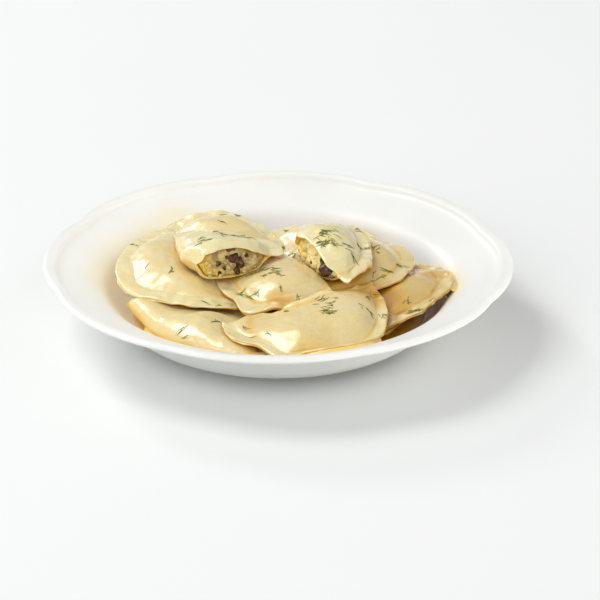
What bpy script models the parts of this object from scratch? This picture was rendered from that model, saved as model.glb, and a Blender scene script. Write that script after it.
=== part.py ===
"""Pierogi with mushroom filling, heaped in a deep white soup plate with a lobed rim.

Every length is in millimetres until a mesh becomes a Blender object. The plate stands on z = 0 with
its axis on the origin. +Z is up, -Y is the side that faces the diner.
"""

import math

import bmesh
import bpy
import numpy as np
from mathutils import Vector
from mathutils.bvhtree import BVHTree

MM = 0.001

# ---------------------------------------------------------------- plate
PLATE_SEGMENTS = 72
LOBES = 8
FIRST_CUSP_DEG = 19.5
CUSP_DEPTH = 2.6  # how far the rim draws in between two lobes
CUSP_DIP = 0.7  # how far its top edge drops there
LOBING_STARTS = 95.0  # inside this radius the plate is plainly round
RIM_RADIUS = 120.0

# (radius, height) from the middle of the well, over the rim and back under to the foot ring.
PLATE_PROFILE = [
    (62.0, 6.5), (70.0, 8.2), (77.5, 12.2), (84.0, 18.4), (88.3, 24.0), (91.8, 26.9), (102.0, 31.0),
    (112.0, 34.8), (113.8, 37.2), (117.6, 38.0), (120.0, 36.4), (117.2, 34.2), (103.0, 28.0),
    (94.0, 23.8), (88.4, 18.2), (81.0, 10.2), (73.0, 5.2), (61.0, 2.4), (60.0, 0.0), (56.5, 0.0),
    (55.5, 2.6),
]
WELL_HEIGHT = 6.5  # in the middle, on top
BASE_HEIGHT = 3.2  # in the middle, underneath

# ---------------------------------------------------------------- dumplings
# A dumpling's own frame: x runs along the fold from corner to corner, +y points at the sealed edge,
# z = 0 is the plane of the seal.
FLANGE_WIDTH = 8.0
FLANGE_THICKNESS = 2.6
FOLD_BULGE = 5.0
END_ANGLE_DEG = 7.0  # the blunt corner stops this far short of the fold line

# The teardrop section: share of the way from the fold to the seal groove, and of the full height.
BELLY_STATIONS = (0.0, 0.06, 0.22, 0.48, 0.72, 0.9, 1.0)
BELLY_HEIGHTS = (0.0, 0.46, 0.84, 1.0, 0.86, 0.5, 0.04)
FLANGE_STATIONS = (0.3, 1.0)  # share of the way from the groove to the outer edge

WALL = 1.7  # dough round the filling
CLEARANCE = 0.35  # between the filling and its wrapper
CONTACT_GAP = 0.35  # left between two pieces that touch
THINNEST = 1.5  # a squeezed piece keeps at least this thickness
DRAW_BACK = 0.15  # step by which crossing facets are drawn apart
PROBES = ((0, 0), (2.5, 0), (-2.5, 0), (0, 2.5), (0, -2.5))  # contact is felt this far round a point
PLATE_SQUASH = 0.35  # share of a dumpling's thickness that flattens on the plate before it bends


def wave(angle, phase, terms):
    """A repeatable irregularity: the sum of sines given as (amplitude, cycles)."""
    return sum(a * math.sin(n * angle + phase * (1 + 0.37 * i)) for i, (a, n) in enumerate(terms))


class Shape:
    """Size and character of one dumpling."""

    def __init__(self, length=86.0, width=46.0, top=11.0, bottom=8.5, curl=0.0, cup=0.0, sweep=0.0,
                 phase=0.0, ruffle=1.0, squareness=2.0):
        self.half, self.width, self.top, self.bottom = length / 2, width, top, bottom
        self.curl, self.cup, self.sweep, self.phase = curl, cup, sweep, phase
        self.ruffle, self.squareness = ruffle, squareness

    def arc(self, share, width):
        """How far the sealed side stands out at this share of the way to the corner."""
        n = self.squareness
        return width * max(0.0, 1 - share**n) ** (1 / n)

    def across(self, x, inset=0.0):
        """y of the fold, of the groove beside the seal and of the outer edge, in the section at x."""
        share = min(abs(x) / self.half, 0.9999)
        angle = math.acos(x / self.half * 0.9999)
        fold = -FOLD_BULGE * (1 - share**2) * (1 + wave(angle, self.phase, [(0.15, 3)]))
        edge = self.arc(share, self.width)
        edge *= 1 + wave(angle, self.phase, [(0.018, 5), (0.012, 9)]) * self.ruffle
        inner = share * self.half / (self.half - 0.9 * FLANGE_WIDTH)
        belly = self.arc(inner, self.width - FLANGE_WIDTH)
        groove = max(belly, fold + 0.3 * (edge - fold))
        return fold + inset, groove - inset, edge

    def fullness(self, x):
        """How far the belly is filled at x, from 1 in the middle to 0 where the corners are pressed flat."""
        share = min(abs(x) / (self.half - 0.75 * FLANGE_WIDTH), 1.0)
        lump = 1 + wave(x / self.half * 3, self.phase, [(0.05, 1.7), (0.04, 3.1)])
        return (1 - share**2.4) ** 0.75 * lump

    def bend(self, point):
        """Curls the corners, cups the sealed edge and sweeps the whole into a crescent."""
        x, y, z = point
        u, v = x / self.half, max(y, 0.0) / self.width
        angle = math.acos(max(-1.0, min(1.0, u)))
        ruffle = wave(angle, self.phase, [(0.9, 4), (0.6, 7)]) * self.ruffle * v**3
        return x, y + self.sweep * u * u, z + self.curl * u * u + self.cup * v * v + ruffle

    def grid(self, stations):
        """Upper and lower surface as two arrays of points, one row for each section."""
        upper, lower = [], []
        for x in stations:
            fold, groove, edge = self.across(x)
            full = self.fullness(x)
            ys = [fold + a * (groove - fold) for a in BELLY_STATIONS]
            ys += [groove + a * (edge - groove) for a in FLANGE_STATIONS]
            heights = list(BELLY_HEIGHTS) + [0.0] * len(FLANGE_STATIONS)
            half = FLANGE_THICKNESS / 2
            upper.append([self.bend((x, y, half + self.top * full * h)) for y, h in zip(ys, heights)])
            lower.append([self.bend((x, y, -half - self.bottom * full * h)) for y, h in zip(ys, heights)])
        return np.array(upper), np.array(lower)

    def cavity(self, stations, inset):
        """The same for the space that the filling takes, `inset` inside the outer surface."""
        upper, lower = [], []
        for x in stations:
            fold, groove, _ = self.across(x, inset)
            full = self.fullness(x)
            up, low = [], []
            for a, h in zip(BELLY_STATIONS, BELLY_HEIGHTS):
                y = fold + a * (groove - fold)
                rise = max(FLANGE_THICKNESS / 2 + self.top * full * h - inset, 0.0)
                fall = max(FLANGE_THICKNESS / 2 + self.bottom * full * h - inset, 0.0)
                least = 1.2 - inset * 0.3
                up.append(self.bend((x, y, max(rise, least))))
                low.append(self.bend((x, y, -max(fall, least))))
            upper.append(up)
            lower.append(low)
        return np.array(upper), np.array(lower)


def stations(shape, sections, first_deg=END_ANGLE_DEG, last_deg=180 - END_ANGLE_DEG):
    """x of each section, closer together towards the corners."""
    angles = np.radians(np.linspace(first_deg, last_deg, sections))
    return [shape.half * math.cos(a) for a in angles]


# ---------------------------------------------------------------- meshes from grids
def grid_faces(rows, columns, start):
    """Quads over a rows x columns block of points whose first has index `start`."""
    corners = [start + i * columns + j for i in range(rows - 1) for j in range(columns - 1)]
    return [(a, a + 1, a + columns + 1, a + columns) for a in corners]


def rim_of(rows, columns, start):
    """The boundary of such a block, as a loop of indices."""
    first = [start + j for j in range(columns)]
    right = [start + i * columns + columns - 1 for i in range(1, rows)]
    last = [start + (rows - 1) * columns + j for j in range(columns - 2, -1, -1)]
    left = [start + i * columns for i in range(rows - 2, 0, -1)]
    return first + right + last + left


def strip(row_a, row_b):
    """Quads between two rows of the same length."""
    return list(zip(row_a, row_a[1:], row_b[1:], row_b))


def ring(loop_a, loop_b):
    """Quads between two closed loops of the same length."""
    return strip(loop_a + loop_a[:1], loop_b + loop_b[:1])


def closed_from_grids(upper, lower):
    """Points and faces of the solid between an upper and a lower surface."""
    rows, columns = upper.shape[:2]
    count = rows * columns
    points = np.concatenate([upper.reshape(-1, 3), lower.reshape(-1, 3)])
    faces = grid_faces(rows, columns, 0) + grid_faces(rows, columns, count)
    return points, faces + ring(rim_of(rows, columns, 0), rim_of(rows, columns, count))


def triangles(faces):
    """The faces as triangles, so that contact and the finished mesh share every diagonal."""
    return [(face[0], b, c) for face in faces for b, c in zip(face[1:], face[2:])]


def tree_of(points, faces):
    return BVHTree.FromPolygons(points.tolist(), triangles(faces))


def add_object(name, points, faces):
    mesh = bpy.data.meshes.new(name)
    mesh.from_pydata((points * MM).tolist(), [], triangles(faces))
    shell = bmesh.new()
    shell.from_mesh(mesh)
    bmesh.ops.recalc_face_normals(shell, faces=shell.faces)
    shell.to_mesh(mesh)
    shell.free()
    bpy.context.scene.collection.objects.link(bpy.data.objects.new(name, mesh))


# ---------------------------------------------------------------- plate
def lobe_factor(angle):
    """1 at a cusp of the rim, falling to 0 over the lobe on either side."""
    turn = math.radians(FIRST_CUSP_DEG)
    return (1 - abs(math.sin(LOBES / 2 * (angle - turn)))) ** 1.6


def plate_solid():
    angles = [math.radians(FIRST_CUSP_DEG) + 2 * math.pi * k / PLATE_SEGMENTS for k in range(PLATE_SEGMENTS)]
    points = []
    for radius, height in PLATE_PROFILE:
        share = max(0.0, (radius - LOBING_STARTS) / (RIM_RADIUS - LOBING_STARTS))
        for angle in angles:
            cusp = lobe_factor(angle) * share
            r = radius - CUSP_DEPTH * cusp
            points.append((r * math.cos(angle), r * math.sin(angle), height - CUSP_DIP * cusp))
    loops = [list(range(start, start + PLATE_SEGMENTS)) for start in range(0, len(points), PLATE_SEGMENTS)]
    faces = [quad for inner, outer in zip(loops, loops[1:]) for quad in ring(inner, outer)]
    for loop, height in ((loops[0], WELL_HEIGHT), (loops[-1], BASE_HEIGHT)):
        faces += [(len(points), a, b) for a, b in zip(loop, loop[1:] + loop[:1])]
        points.append((0.0, 0.0, height))
    return np.array(points), faces


# ---------------------------------------------------------------- placing
def placed(points, at, heading, pitch=0.0, roll=0.0):
    """Points of a dumpling's frame in the plate's frame.

    heading is the direction, in plan, in which the sealed edge points; pitch lifts that edge, roll
    lifts the +x corner.
    """
    h, p, r = (math.radians(a) for a in (heading, pitch, roll))
    across = np.array([math.cos(h), math.sin(h), 0.0])
    along = np.array([math.sin(h), -math.cos(h), 0.0])
    up = np.array([0.0, 0.0, 1.0])
    ey = across * math.cos(p) + up * math.sin(p)
    ez = up * math.cos(p) - across * math.sin(p)
    ex = along * math.cos(r) + ez * math.sin(r)
    ez = ez * math.cos(r) - along * math.sin(r)
    return points @ np.array([ex, ey, ez]) + np.array(at)


class Piece:
    """A dumpling in its place, kept as its two surfaces so that contact can press on either."""

    def __init__(self, name, shape, at, heading, pitch=0.0, roll=0.0, sections=15):
        self.name, self.soft = name, True
        pose = (at, heading, pitch, roll)
        upper, lower = shape.grid(stations(shape, sections))
        self.upper, self.lower = placed(upper, *pose), placed(lower, *pose)

    def outside(self):
        return closed_from_grids(self.upper, self.lower)

    def box(self):
        points = np.concatenate([self.upper.reshape(-1, 3), self.lower.reshape(-1, 3)])
        return points.min(axis=0), points.max(axis=0)

    def sink(self, depth):
        """Lowers the upper surface, and the lower one with it where the piece would get too thin."""
        self.upper[..., 2] -= depth
        self.lower[..., 2] -= np.maximum(0, self.lower[..., 2] + THINNEST - self.upper[..., 2]) * (depth > 0)

    def squeeze(self, height):
        """Raises the lower surface, and the upper one with it where the piece would get too thin."""
        self.lower[..., 2] += height
        self.upper[..., 2] += np.maximum(0, self.lower[..., 2] + THINNEST - self.upper[..., 2]) * (height > 0)

    def lift(self, height):
        self.lower[..., 2] += height
        self.upper[..., 2] += height

    def build(self):
        add_object(self.name, *self.outside())


class CutPiece(Piece):
    """Half a dumpling whose cut side shows the filling. It keeps its shape where it is pressed."""

    def __init__(self, name, shape, at, heading, pitch=0.0, roll=0.0, sections=9, cut_x=0.0, slant=0.0,
                 side=1):
        self.name, self.soft, self.side = name, False, side
        self.pose = (at, heading, pitch, roll)
        last = math.degrees(math.acos(cut_x / shape.half))
        xs = stations(shape, sections, last_deg=last)
        self.upper, self.lower = (self.slanted(g, shape, cut_x, slant) for g in shape.grid(xs))
        reach = shape.half - FLANGE_WIDTH - 6.0
        inner_xs = list(np.linspace(reach, cut_x, sections - 1))
        hole, core = ([self.slanted(g, shape, cut_x, slant) for g in shape.cavity(inner_xs, inset)]
                      for inset in (WALL, WALL + CLEARANCE))
        self.upper, self.lower = self.turned(self.upper), self.turned(self.lower)
        self.hole = [self.turned(g) for g in hole]
        self.core = [self.turned(g) for g in self.trimmed(core)]

    def turned(self, grid):
        return placed(grid * np.array([self.side, 1.0, 1.0]), *self.pose)

    @staticmethod
    def slanted(grid, shape, cut_x, slant):
        """Moves the cut edge of the upper sheet out and that of the lower sheet in, towards the seal."""
        result = grid.copy()
        reach = np.clip(1 - (result[..., 0] - cut_x) / (shape.half * 0.5), 0, 1)
        lean = slant * (result[..., 2] / shape.top)
        result[..., 0] -= lean * reach
        return result

    @staticmethod
    def trimmed(core):
        """Leaves a clearance at the blind end and domes the filling slightly out of the cut."""
        upper, lower = (g.copy() for g in core)
        for grid in (upper, lower):
            grid[0, :, 0] -= CLEARANCE
        centre = (upper[-1] + lower[-1]).mean(axis=0) / 2
        caps = []
        for grid in (upper, lower):
            cap = centre + (grid[-1] - centre) * 0.72
            cap[:, 0] = grid[-1][:, 0] - 1.3
            caps.append(np.concatenate([grid, cap[None]]))
        return caps

    def wrapper(self):
        """Outer surface, inner surface and the ring of dough between them at the cut."""
        blocks = [self.upper, self.lower, *self.hole]
        starts = np.cumsum([0] + [b.shape[0] * b.shape[1] for b in blocks]).tolist()
        faces = []
        for block, start in zip(blocks, starts):
            faces += grid_faces(*block.shape[:2], start)
        outer = self.open_block(self.upper.shape, *starts[0:2])
        inner = self.open_block(self.hole[0].shape, *starts[2:4])
        faces += outer[0] + inner[0] + self.cut_face(outer[1:], inner[1:])
        return np.concatenate([b.reshape(-1, 3) for b in blocks]), faces

    @staticmethod
    def open_block(shape, up, low):
        """Faces round the fold, the blind end and the seal of a block, and its two rows at the cut."""
        rows, columns = shape[:2]
        around = [i * columns for i in range(rows - 1, -1, -1)] + list(range(1, columns))
        around += [i * columns + columns - 1 for i in range(1, rows)]
        cut = [(rows - 1) * columns + j for j in range(columns)]
        sides = strip([up + k for k in around], [low + k for k in around])
        return sides, [up + k for k in cut], [low + k for k in cut]

    @staticmethod
    def cut_face(outer, inner):
        """Dough between the outer and the inner outline of the cut: a ring, then the sealed flange."""
        (out_up, out_low), (in_up, in_low) = outer, inner
        n = len(in_up)
        faces = strip(out_up[:n], in_up) + strip(out_low[:n], in_low)
        faces.append((out_up[0], in_up[0], in_low[0], out_low[0]))
        faces.append((out_up[n - 1], in_up[-1], in_low[-1], out_low[n - 1]))
        return faces + strip(out_up[n - 1:], out_low[n - 1:])

    def build(self):
        add_object(self.name, *self.wrapper())
        add_object(self.name + "_filling", *closed_from_grids(*self.core))


# ---------------------------------------------------------------- contact
def height_at(tree, x, y, above):
    """z where a vertical line meets a solid first, from above or from below, or None."""
    start, direction = (Vector((x, y, 300.0)), Vector((0, 0, -1))) if above else (
        Vector((x, y, -100.0)), Vector((0, 0, 1)))
    hit = tree.ray_cast(start, direction)[0]
    return None if hit is None else hit.z


def share_out(clash, give_low, give_high):
    """How much of a clash the lower and the upper piece give way, by the thickness each can lose."""
    total = give_low + give_high
    if total <= 0:
        return 0.0, 0.0, clash
    settled = min(clash, total)
    low = settled * give_low / total
    return low, settled - low, clash - settled


def eased(need, rounds, keep):
    """A movement that meets every need and eases off smoothly round it."""
    moved = need.copy()
    for _ in range(rounds):
        padded = np.pad(moved, 1, mode="edge")
        mean = (padded[:-2, 1:-1] + padded[2:, 1:-1] + padded[1:-1, :-2] + padded[1:-1, 2:]) / 4
        moved = np.maximum(need, mean * keep)
    return moved


def worst_clash(low, high, low_tree, high_tree, x, y):
    """The deepest overlap round (x, y): how far the lower piece sinks, and the upper squeezes and lifts."""
    worst = (0.0, 0.0, 0.0)
    for dx, dy in PROBES:
        low_top = height_at(low_tree, x + dx, y + dy, True)
        high_bottom = height_at(high_tree, x + dx, y + dy, False)
        if low_top is None or high_bottom is None or low_top + CONTACT_GAP <= high_bottom:
            continue
        low_bottom = height_at(low_tree, x + dx, y + dy, False)
        high_top = height_at(high_tree, x + dx, y + dy, True)
        give_low = max(0.0, low_top - low_bottom - THINNEST) if low.soft else 0.0
        give_high = max(0.0, high_top - high_bottom - THINNEST) if high.soft else 0.0
        found = share_out(low_top + CONTACT_GAP - high_bottom, give_low, give_high)
        worst = tuple(map(max, worst, found))
    return worst


def press(low, high):
    """Settles the piece `high` on the piece `low`; whichever is soft gives way where they would overlap."""
    trees = tree_of(*low.outside()), tree_of(*high.outside())
    sink = np.zeros(low.upper.shape[:2])
    if low.soft:
        for index in np.ndindex(sink.shape):
            sink[index] = worst_clash(low, high, *trees, *low.upper[index][:2])[0]
    squeeze, rest = np.zeros(high.lower.shape[:2]), np.zeros(high.lower.shape[:2])
    if high.soft:
        for index in np.ndindex(rest.shape):
            squeeze[index], rest[index] = worst_clash(low, high, *trees, *high.lower[index][:2])[1:]
    low.sink(eased(sink, 3, 0.75))
    high.squeeze(eased(squeeze, 3, 0.75))
    high.lift(eased(rest, 8, 0.92))


def rest_on_plate(piece, plate_tree):
    """Flattens a piece a little on the plate and bends it up along the wall."""
    squeeze, rest = np.zeros(piece.lower.shape[:2]), np.zeros(piece.lower.shape[:2])
    for index in np.ndindex(rest.shape):
        x, y, z = piece.lower[index]
        floor = max(height_at(plate_tree, x + dx, y + dy, True) or 0.0 for dx, dy in PROBES)
        clash = max(0.0, floor + CONTACT_GAP - z)
        squeeze[index] = min(clash, PLATE_SQUASH * max(0.0, piece.upper[index][2] - z - THINNEST))
        rest[index] = clash - squeeze[index]
    piece.squeeze(squeeze)
    piece.lift(eased(rest, 8, 0.92))


def crossing(low, high):
    """Whether facets of two pieces cross. If so, each soft one draws its facing surface back a little."""
    (low_points, low_faces), (high_points, high_faces) = low.outside(), high.outside()
    pairs = tree_of(low_points, low_faces).overlap(tree_of(high_points, high_faces))
    if pairs and low.soft:
        low.sink(draw_back(low.upper, triangles(low_faces), {pair[0] for pair in pairs}))
    if pairs and high.soft:
        high.squeeze(draw_back(high.lower, triangles(high_faces), {pair[1] for pair in pairs}))
    return bool(pairs)


def draw_back(surface, faces, crossed):
    """A small movement of one surface at the corners of the crossed facets, eased off round them."""
    need = np.zeros(surface.shape[0] * surface.shape[1])
    need[[v % len(need) for face in crossed for v in faces[face]]] = DRAW_BACK
    return eased(need.reshape(surface.shape[:2]), 2, 0.8)


def boxes_meet(a, b):
    (low_a, high_a), (low_b, high_b) = a.box(), b.box()
    return bool((low_a < high_b + 1).all() and (low_b < high_a + 1).all())


def touching_pairs(pieces):
    pairs = [(low, high) for i, high in enumerate(pieces) for low in pieces[:i]]
    return [pair for pair in pairs if boxes_meet(*pair)]


# ---------------------------------------------------------------- the heap, from the bottom up
def heap():
    return [
        Piece("hidden_middle", Shape(86, 45, 9, 7, phase=0.4), (-14, 1, 15.5), 78, sections=11),
        Piece("lower_right", Shape(84, 44, 8.5, 7, phase=1.3), (23, -13, 15), -30, sections=11),
        Piece("left_bottom", Shape(90, 46, 10, 8, sweep=8, phase=0.9), (-47.5, -53, 17), 49),
        Piece("right_lower", Shape(86, 48, 9, 7, phase=5.1, ruffle=1.8), (43, -4, 15.5), -9, 14.5),
        Piece("back_mid", Shape(84, 45, 12, 9, phase=4.0), (20, 31, 20), 82, 6),
        Piece("back_left", Shape(70, 46, 10, 9, phase=3.1, ruffle=1.6), (-30, 33, 24.5), 106, 8),
        Piece("left_top", Shape(91, 50, 11, 9, phase=1.7), (-35.5, 15.5, 24.5), 211, 5, 5),
        Piece("right_upper", Shape(80, 44, 9, 8, phase=2.9), (28, 18, 26), -20, 3),
        Piece("centre", Shape(72, 43, 10, 8, phase=0.2, squareness=2.6), (10.5, 1.5, 29), 212, -4),
        Piece("front", Shape(86, 47, 10, 9, sweep=-12, curl=9, phase=3.7), (16.5, -40, 18), 297, 0, -4.5),
        CutPiece("cut_left", Shape(88, 50, 10.5, 7, phase=2.4), (-42, -10.5, 37.5), 17, slant=-2, side=-1),
        CutPiece("cut_right", Shape(71, 52, 11, 9, phase=4.4), (9.5, 19.5, 39.5), -61, -4, slant=-1, side=-1),
    ]


def main():
    for obj in list(bpy.data.objects):
        bpy.data.objects.remove(obj)
    plate = plate_solid()
    plate_tree = tree_of(*plate)
    pieces = heap()
    for piece in pieces:
        if piece.soft:
            rest_on_plate(piece, plate_tree)
    for low, high in touching_pairs(pieces):
        press(low, high)
    for _ in range(60):
        if not any([crossing(low, high) for low, high in touching_pairs(pieces)]):
            break
    else:
        print("some facets still cross")
    add_object("plate", *plate)
    for piece in pieces:
        piece.build()


main()
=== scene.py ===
"""Looks of the pierogi plate: porcelain, moist dough, mushroom filling, melted butter and dill.

Lengths are in millimetres until a mesh becomes a Blender object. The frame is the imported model's:
the plate stands on z = 0 with its axis on the origin, +Z is up and -Y faces the diner.
"""

import math
import random

import bmesh
import bpy
import numpy as np
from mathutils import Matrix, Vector, noise
from mathutils.bvhtree import BVHTree


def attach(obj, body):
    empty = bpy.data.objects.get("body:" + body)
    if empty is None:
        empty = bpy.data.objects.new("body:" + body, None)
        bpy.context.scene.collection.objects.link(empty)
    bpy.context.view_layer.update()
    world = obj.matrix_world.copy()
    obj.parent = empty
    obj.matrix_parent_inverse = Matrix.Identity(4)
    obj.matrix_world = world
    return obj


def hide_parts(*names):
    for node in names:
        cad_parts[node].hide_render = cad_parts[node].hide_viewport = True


MM = 0.001
SOFTENING = 0.6  # how far each round moves a point towards the mean of its neighbours
RELAXING = (0.5, -0.52)  # the same for a step that smooths and the one that swells again

DUMPLINGS = ["hidden_middle", "lower_right", "left_bottom", "right_lower", "back_mid", "back_left",
             "left_top", "right_upper", "centre", "front"]
HALVES = ["cut_left", "cut_right"]

# ---------------------------------------------------------------- plate
PLATE_SEGMENTS = 288
PROFILE_STEPS = 6  # points on the smooth curve for each span of the profile
LOBES = 8
FIRST_CUSP_DEG = 19.5
CUSP_DEPTH = 2.6
CUSP_DIP = 0.7
CUSP_SHARPNESS = 1.6
LOBING_STARTS = 95.0
RIM_RADIUS, RIM_HEIGHT = 120.0, 38.0
PLATE_PROFILE = [
    (62.0, 6.5), (70.0, 8.2), (77.5, 12.2), (84.0, 18.4), (88.3, 24.0), (91.8, 26.9), (102.0, 31.0),
    (112.0, 34.8), (113.8, 37.2), (117.6, 38.0), (120.0, 36.4), (117.2, 34.2), (103.0, 28.0),
    (94.0, 23.8), (88.4, 18.2), (81.0, 10.2), (73.0, 5.2), (61.0, 2.4), (60.0, 0.0), (56.5, 0.0),
    (55.5, 2.6),
]
WALL_SPANS = 6  # of the profile, from the well up to the rim
WELL_HEIGHT, WELL_RADII = 6.5, (4.0, 12.0, 24.0, 38.0, 52.0)
BASE_HEIGHT = 3.2
GLAZE_WAVE, GLAZE_WAVE_SIZE = 0.15, 35.0
# Butter on the inside of the plate. Near the food, and more on its left wall, the warm tint is also a
# painted reflection of the food. Each pair is where it begins and where it is full: in distance to
# the food, or along an axis.
STAIN_AND_REFLECTION_TOP, STAIN_AND_REFLECTION_REACH = 34.0, 40.0
STAIN_AND_REFLECTION_NEAR, STAIN_AND_REFLECTION_AMOUNT = (16, 1), 0.75
LEFT_STAIN_AND_REFLECTION_NEAR, LEFT_STAIN_AND_REFLECTION_X, LEFT_STAIN_AND_REFLECTION_AMOUNT = (30, 8), (-10, -70), 0.55
POOLED_NEAR, POOLED_X, POOLED_Y, POOLED_Z = (18, 8), (20, 50), (25, 0), (27, 19)

# ---------------------------------------------------------------- dough
DOUGH_LEVELS, MASH_LEVELS = 3, 4  # of subdivision
FLANGE_THIN, FLANGE_THICK = 2.6, 6.0  # the seal's thickness, and where the belly begins
SHOULDER_THICK = 12.0  # where the slope from the seal up to the belly ends
SHOULDER_GAIN = 6.0
THICKEST = 30.0  # more than any dumpling
THICKNESS_START, SHELTER_START = 0.05, 0.3  # rays begin this far from the surface they leave
EVENING_ROUNDS, SHOULDER_ROUNDS = 4, 60  # of smoothing, all over and where belly and seal meet
SHELTER_REACH = 9.0  # neighbours nearer than this shelter the dough: butter collects there, and it gets painted shade
SHELTER_WAYS, SHELTER_TILT_DEG = 5, 52.0  # they are looked for along the normal and around it
RIM_BULGE = (0.025, 0.08)  # standing out of the neighbours by this much marks the edge of a seal, which gets a painted highlight
RIM_THIN = (0.2, 0.6)  # only dough as thin as this counts as a seal: 0 in the belly, 1 in the seal
DOUGH_SWELL, EDGE_THINNING = 0.1, 0.1  # thicker than the solid in the belly, thinner in the seal
CORE_CLEARANCE, CORE_REACH = (0.6, 3.5), 4.0  # a wrapper is held at its filling and free beyond
UNDERSIDE = (-0.3, 0.85)  # the normal's height, from dough that faces down to dough that faces up: facing down gets painted shade and a painted yellow bounce
SOAKED_SHADE = 0.5  # how much darker soaked dough is painted, as shade

# Unevenness in layers: height in mm, size in mm and step of the seed.
DOUGH_LUMPS = [(0.9, 22.0, 0), (0.6, 10.0, 20)]
DOUGH_GRAIN = [(0.26, 5.0, 40), (0.1, 2.2, 60)]
SEAL_WAVES = [(1.1, 13.0, 0), (0.6, 5.0, 20)]
MASH_GRAIN = [(0.9, 5.0, 0), (0.7, 2.4, 1), (0.45, 1.2, 2)]
LUMP_SHAPE = [(0.55, 1.1, 0), (0.25, 0.45, 1)]

# Seals wavier than the others, and those pinched flat: place, inner and outer reach.
FRILL = {"back_left": 1.9, "cut_right": 1.6, "right_lower": 1.3, "front": 0.6}
PINCHED = {"front": ((-23, -60, 24), 9.0, 17.0)}
PINCHED_THICK, PINCH_LIMIT = 2.6, 20.0
TOO_THICK = 25.0  # found only where the way to the other side missed it
# How deep in the butter a dumpling lies, with painted shade on those in the heap's shadow and, with a
# minus sign, painted light; and how much darker its dough is painted, as shade.
BUTTERED_AND_SHADED = {"right_lower": 0.5, "right_upper": 0.4, "lower_right": 0.8, "front": 0.1, "centre": 0.2,
            "left_top": -0.3, "cut_left": -0.1}
SHADED = {"right_lower": 0.6, "right_upper": 0.3, "lower_right": 0.5, "front": 0.08, "centre": 0.1}
# Where butter soaked in, with painted shade there, or with a minus sign where the dough is painted
# paler, as light: place, reach and how much.
SOAKING_AND_SHADE = [((49, -25, 27), 22, 1.2), ((73, 3, 28), 11, 0.5), ((84, 1, 28), 7, 0.4),
          ((51, -57, 26), 16, 0.3), ((16, -76, 22), 24, 0.45), ((1, -34, 28), 11, 0.7),
          ((-42, -12, 31), 18, -0.6), ((-57, -26, 23), 14, -0.3), ((-14, -56, 24), 13, 0.3)]
# Where a dumpling sags over what it lies on: place, reach and shift in mm.
SETTLING = {
    "centre": [((-14, -34, 28), 14, (-2.5, -4.5, -3.5))],
    "front": [((-12, -44, 25), 14, (0, 5, 1.5)), ((-20, -62, 22), 18, (-4, -4, 0)),
              ((2, -77, 20), 15, (0, -6, -1.5)), ((50, -19, 31), 17, (-1, -2, -2))],
    "left_top": [((-74, -14, 27), 20, (-3, -4, -2.5))],
    "left_bottom": [((-69, -28, 20), 18, (-3, 7, 4))],
    "cut_left": [((-46, -11, 39), 13, (5.0, 1.5, 2.0)), ((-5, 1, 39), 9, (-3.0, 1.0, 0.5))],
    "cut_right": [((7, 24, 39), 12, (4.5, -3.5, -1.5))],
}
CUT_FACING_DEG = {"cut_left": -73.0, "cut_right": -151.0}  # plan direction in which each cut looks
CUT_SEED = 90  # one for the wrapper and the filling in it
CUT_END = (8.0, 1.5)  # the end of a half begins and is full this far behind its foremost point
CUT_UPPER = (-3.0, 4.0)  # its upper side, from the middle of its height
CUT_DROOP, CUT_DROOP_SIZE, CUT_OVERHANG = 3.0, 9.0, 3.2
CUT_RAGGED, CUT_RAGGED_SIZE, CUT_FORWARD = 0.7, 6.0, 0.5
CUT_EDGE, CUT_EDGE_REACH = (0.5, 2.2), 6.0  # bare dough shows this near the mash

# ---------------------------------------------------------------- butter
BUTTER_LEVEL = 10.4  # height of the pool in the well
POOL_DEEP = 3.5  # butter this deep has its full colour
POOL_RINGS, POOL_SEGMENTS = 40, 180
SHORE_RINGS, SHORE_WIDTH, SHORE_OVERLAP = 8, 3.0, 0.4  # finer rings, ending inside the wall
POOL_RIPPLE, POOL_RIPPLE_SIZE = 0.12, 14.0
MENISCUS, MENISCUS_WIDTH = 0.5, 2.5
CREASE_REACH = 1.15  # butter fills creases narrower than twice this
CREASE_VOXEL = 0.75
FILM_THICKNESS = 0.5
FILM_REACH = 3.5  # the film lies within this of the food and of the plate at once
# Where the film thins out to nothing: place, reach and how fast.
FILM_BREAKS = [((88, -26, 27), 20, 1.3), ((-90, -12, 22), 12, 1.3)]
CREASE_SHOWS = 0.08  # butter higher than this over the surface is kept, with a border of two faces
CREASE_SINK = 0.3  # elsewhere the butter stays this far under the surface
SMALLEST_FILM = 200  # faces

# ---------------------------------------------------------------- filling
# Mushroom bits in each cut: across and up as shares of its half width and half height, size in mm.
MUSHROOMS = {
    "cut_left": [(0.11, 1.9, 2.3), (0.0, 1.8, 1.6), (0.16, 0.9, 2.6), (0.30, 0.6, 2.3),
                 (0.33, 0.1, 2.3), (0.22, -0.45, 1.9), (-0.43, 0.6, 1.5), (-0.20, 0.0, 1.1),
                 (0.55, 1.0, 1.1), (-0.1, 1.1, 0.9), (-0.38, -0.5, 1.2)],
    "cut_right": [(0.62, -0.2, 3.4), (0.78, -0.1, 2.6), (0.48, -0.1, 2.4), (0.38, 0.3, 1.7),
                  (0.88, -0.4, 1.4), (-0.1, -0.3, 0.9)],
}
PALENESS = {"cut_left": 0.1, "cut_right": 0.95}  # how much more potato there is in the mash
CRUMBS = 26  # in each cut
CRUMB_SIZE = (0.5, 1.3)
CRUMB_PALENESS = 0.4
CRUMB_ACROSS, CRUMB_UP = (-0.85, 0.85), (-0.9, 0.8)  # where they lie on the cut
LUMP_DEPTH = 0.8  # of a bit or crumb into the cut, as a share of its width
MUSHROOM_SINK = 0.2  # how deep a bit sits in the mash, as a share of its size
CAP_DEPTH, CAP_END = 2.5, (3.5, 0.8)  # the face of the mash, and where it begins to be rough
CAP_FORWARD, MASH_SWELL = 0.3, 0.4
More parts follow.
